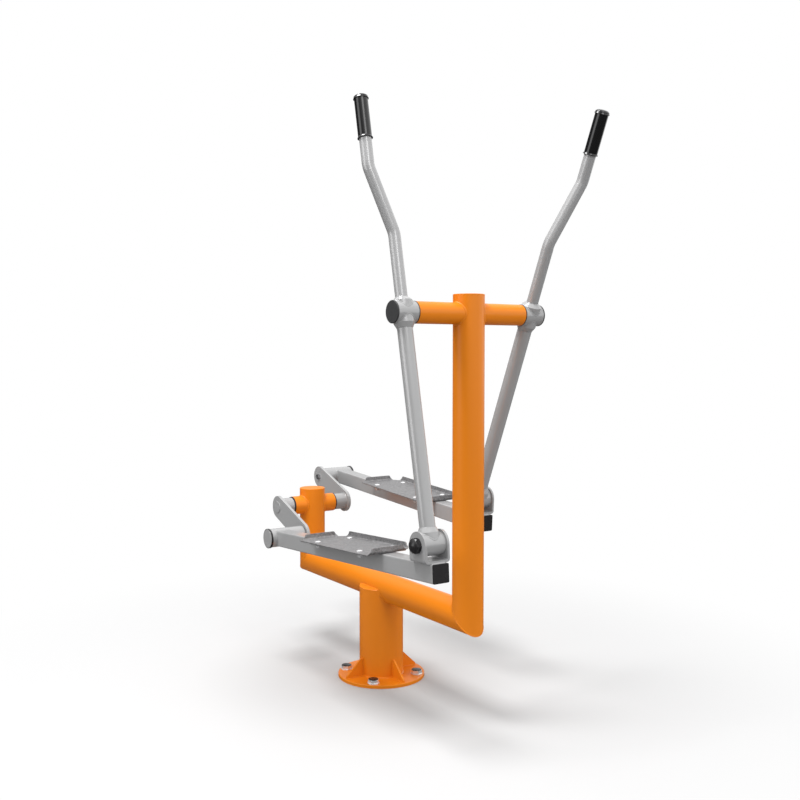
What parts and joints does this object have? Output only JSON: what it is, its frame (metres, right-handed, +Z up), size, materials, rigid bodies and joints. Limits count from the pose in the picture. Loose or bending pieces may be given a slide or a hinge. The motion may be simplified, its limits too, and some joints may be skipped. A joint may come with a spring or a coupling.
{
  "type": "outdoor cross trainer",
  "caption": "Outdoor cross trainer on a bolted pedestal: swinging arms with handles drive foot treadles whose rear ends turn a crank.",
  "frame": {"origin": "on the ground at the underside of the base flange, on the pedestal's axis", "axes": "+X from the crank to the tall front post, +Y to the user's left, +Z up"},
  "size_m": [1.3775, 0.598, 1.7264],
  "materials": {
    "orange_powder_coat": "gloss",
    "silver_powder_coat": "semi-gloss",
    "galvanised_sheet": "matt, speckled",
    "zinc_plate": "bright",
    "bearing_steel": "machined",
    "black_rubber_grip": "glossy",
    "black_rubber_seal": "matt",
    "black_plastic": "glossy",
    "charcoal_plastic": "satin"
  },
  "bodies": {
    "root": {"base_flange": "orange_powder_coat", "base_gussets": "orange_powder_coat", "pedestal_tube": "orange_powder_coat", "pedestal_top_plate": "orange_powder_coat", "frame_beam": "orange_powder_coat", "rear_post": "orange_powder_coat", "front_post": "orange_powder_coat", "post_caps": "orange_powder_coat", "handle_cross_tube": "orange_powder_coat", "handle_axle": "bearing_steel", "axle_end_screws": "zinc_plate", "crank_housing": "orange_powder_coat", "crank_bearings": "black_rubber_seal", "anchor_nuts": "zinc_plate", "anchor_washers": "zinc_plate"},
    "crankset": {"crankshaft": "bearing_steel", "right_crank_arm": "silver_powder_coat", "left_crank_arm": "silver_powder_coat", "crank_caps": "silver_powder_coat", "crank_pin_screws": "bearing_steel"},
    "right_arm": {"right_arm_hub": "silver_powder_coat", "right_lower_arm": "silver_powder_coat", "right_handle_tube": "silver_powder_coat", "right_grip": "black_rubber_grip", "right_hub_cap": "charcoal_plastic", "right_hub_bearings": "bearing_steel", "right_foot_hub": "silver_powder_coat", "right_foot_bearings": "bearing_steel"},
    "right_treadle": {"right_treadle_bar": "silver_powder_coat", "right_clevis": "silver_powder_coat", "right_rear_hub": "silver_powder_coat", "right_rear_hub_cap": "black_plastic", "right_rear_hub_disc": "silver_powder_coat", "right_rear_axle": "bearing_steel", "right_rear_bearings": "bearing_steel", "right_bar_plug": "black_plastic", "right_foot_plate": "galvanised_sheet", "right_plate_bolts": "zinc_plate", "right_pivot_bolt": "zinc_plate", "right_pivot_cap": "black_plastic"},
    "left_arm": {"left_arm_hub": "silver_powder_coat", "left_lower_arm": "silver_powder_coat", "left_handle_tube": "silver_powder_coat", "left_grip": "black_rubber_grip", "left_hub_cap": "charcoal_plastic", "left_hub_bearings": "bearing_steel", "left_foot_hub": "silver_powder_coat", "left_foot_bearings": "bearing_steel"},
    "left_treadle": {"left_treadle_bar": "silver_powder_coat", "left_clevis": "silver_powder_coat", "left_rear_hub": "silver_powder_coat", "left_rear_hub_cap": "black_plastic", "left_rear_hub_disc": "silver_powder_coat", "left_rear_axle": "bearing_steel", "left_rear_bearings": "bearing_steel", "left_bar_plug": "black_plastic", "left_foot_plate": "galvanised_sheet", "left_plate_bolts": "zinc_plate", "left_pivot_bolt": "zinc_plate", "left_pivot_cap": "black_plastic"}
  },
  "joints": [
    {"name": "crank_spin", "type": "hinge", "parent": "root", "child": "crankset", "pos_m": [-0.459, 0, 0.492], "axis": [0, -1, 0], "continuous": true},
    {"name": "right_arm_swing", "type": "hinge", "parent": "root", "child": "right_arm", "pos_m": [0.452, -0.2193, 1.142], "axis": [0, -1, 0], "range_deg": [-36, 1.8]},
    {"name": "left_arm_swing", "type": "hinge", "parent": "root", "child": "left_arm", "pos_m": [0.452, 0.2193, 1.142], "axis": [0, -1, 0], "range_deg": [-1.8, 36]},
    {"name": "right_treadle_pitch", "type": "hinge", "parent": "right_arm", "child": "right_treadle", "pos_m": [0.57316, -0.2193, 0.54313], "axis": [0, -1, 0], "range_deg": [-1.85, 36.25]},
    {"name": "left_treadle_pitch", "type": "hinge", "parent": "left_arm", "child": "left_treadle", "pos_m": [0.21602, 0.2193, 0.57841], "axis": [0, -1, 0], "range_deg": [-34.25, 1.75]}
  ],
  "couplings": [
    {"joint": "left_arm_swing", "follows": "right_arm_swing", "ratio": -1},
    {"joint": "right_treadle_pitch", "follows": "right_arm_swing", "ratio": -1.006},
    {"joint": "left_treadle_pitch", "follows": "right_arm_swing", "ratio": 0.95}
  ]
}
